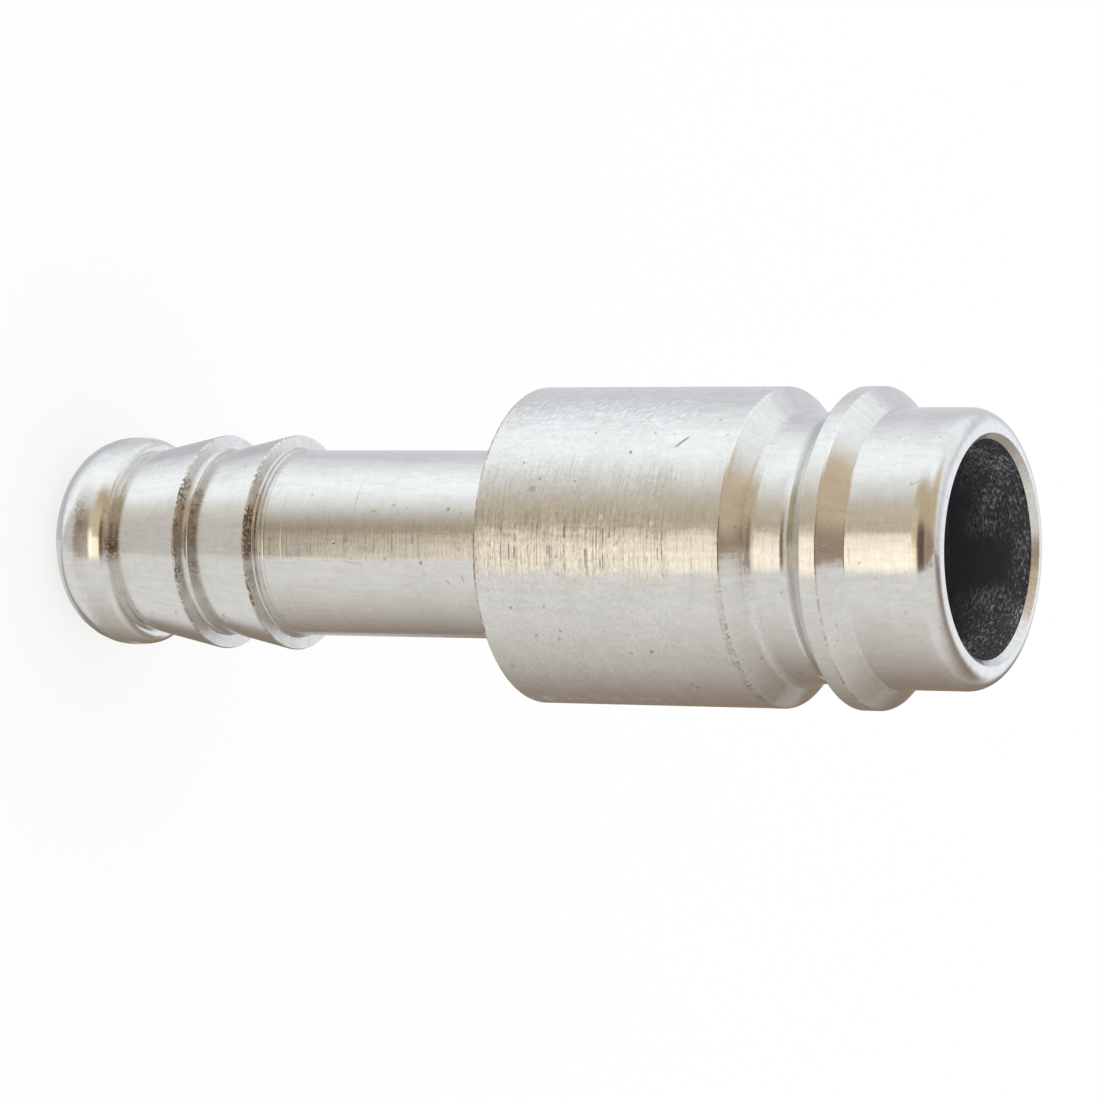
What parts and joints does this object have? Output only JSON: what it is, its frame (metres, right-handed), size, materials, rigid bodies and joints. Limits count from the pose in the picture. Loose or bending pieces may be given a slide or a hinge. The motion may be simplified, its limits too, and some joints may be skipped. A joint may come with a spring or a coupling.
{
  "type": "hose nipple",
  "caption": "Turned steel hose nipple: barbed tail for a hose at one end, quick-coupling plug with locking groove at the other, open bore right through.",
  "frame": {"origin": "centre of the round end of the hose tail, on the flat ring that the nipple stands on", "axes": "+Z along the axis of the bore, from the hose tail towards the mouth of the coupling end; X and Y are free, since the nipple is round"},
  "size_m": [0.0156, 0.0156, 0.0505],
  "materials": {
    "steel": "satin turned"
  },
  "bodies": {
    "root": {"hose_nipple": "steel"}
  },
  "joints": []
}
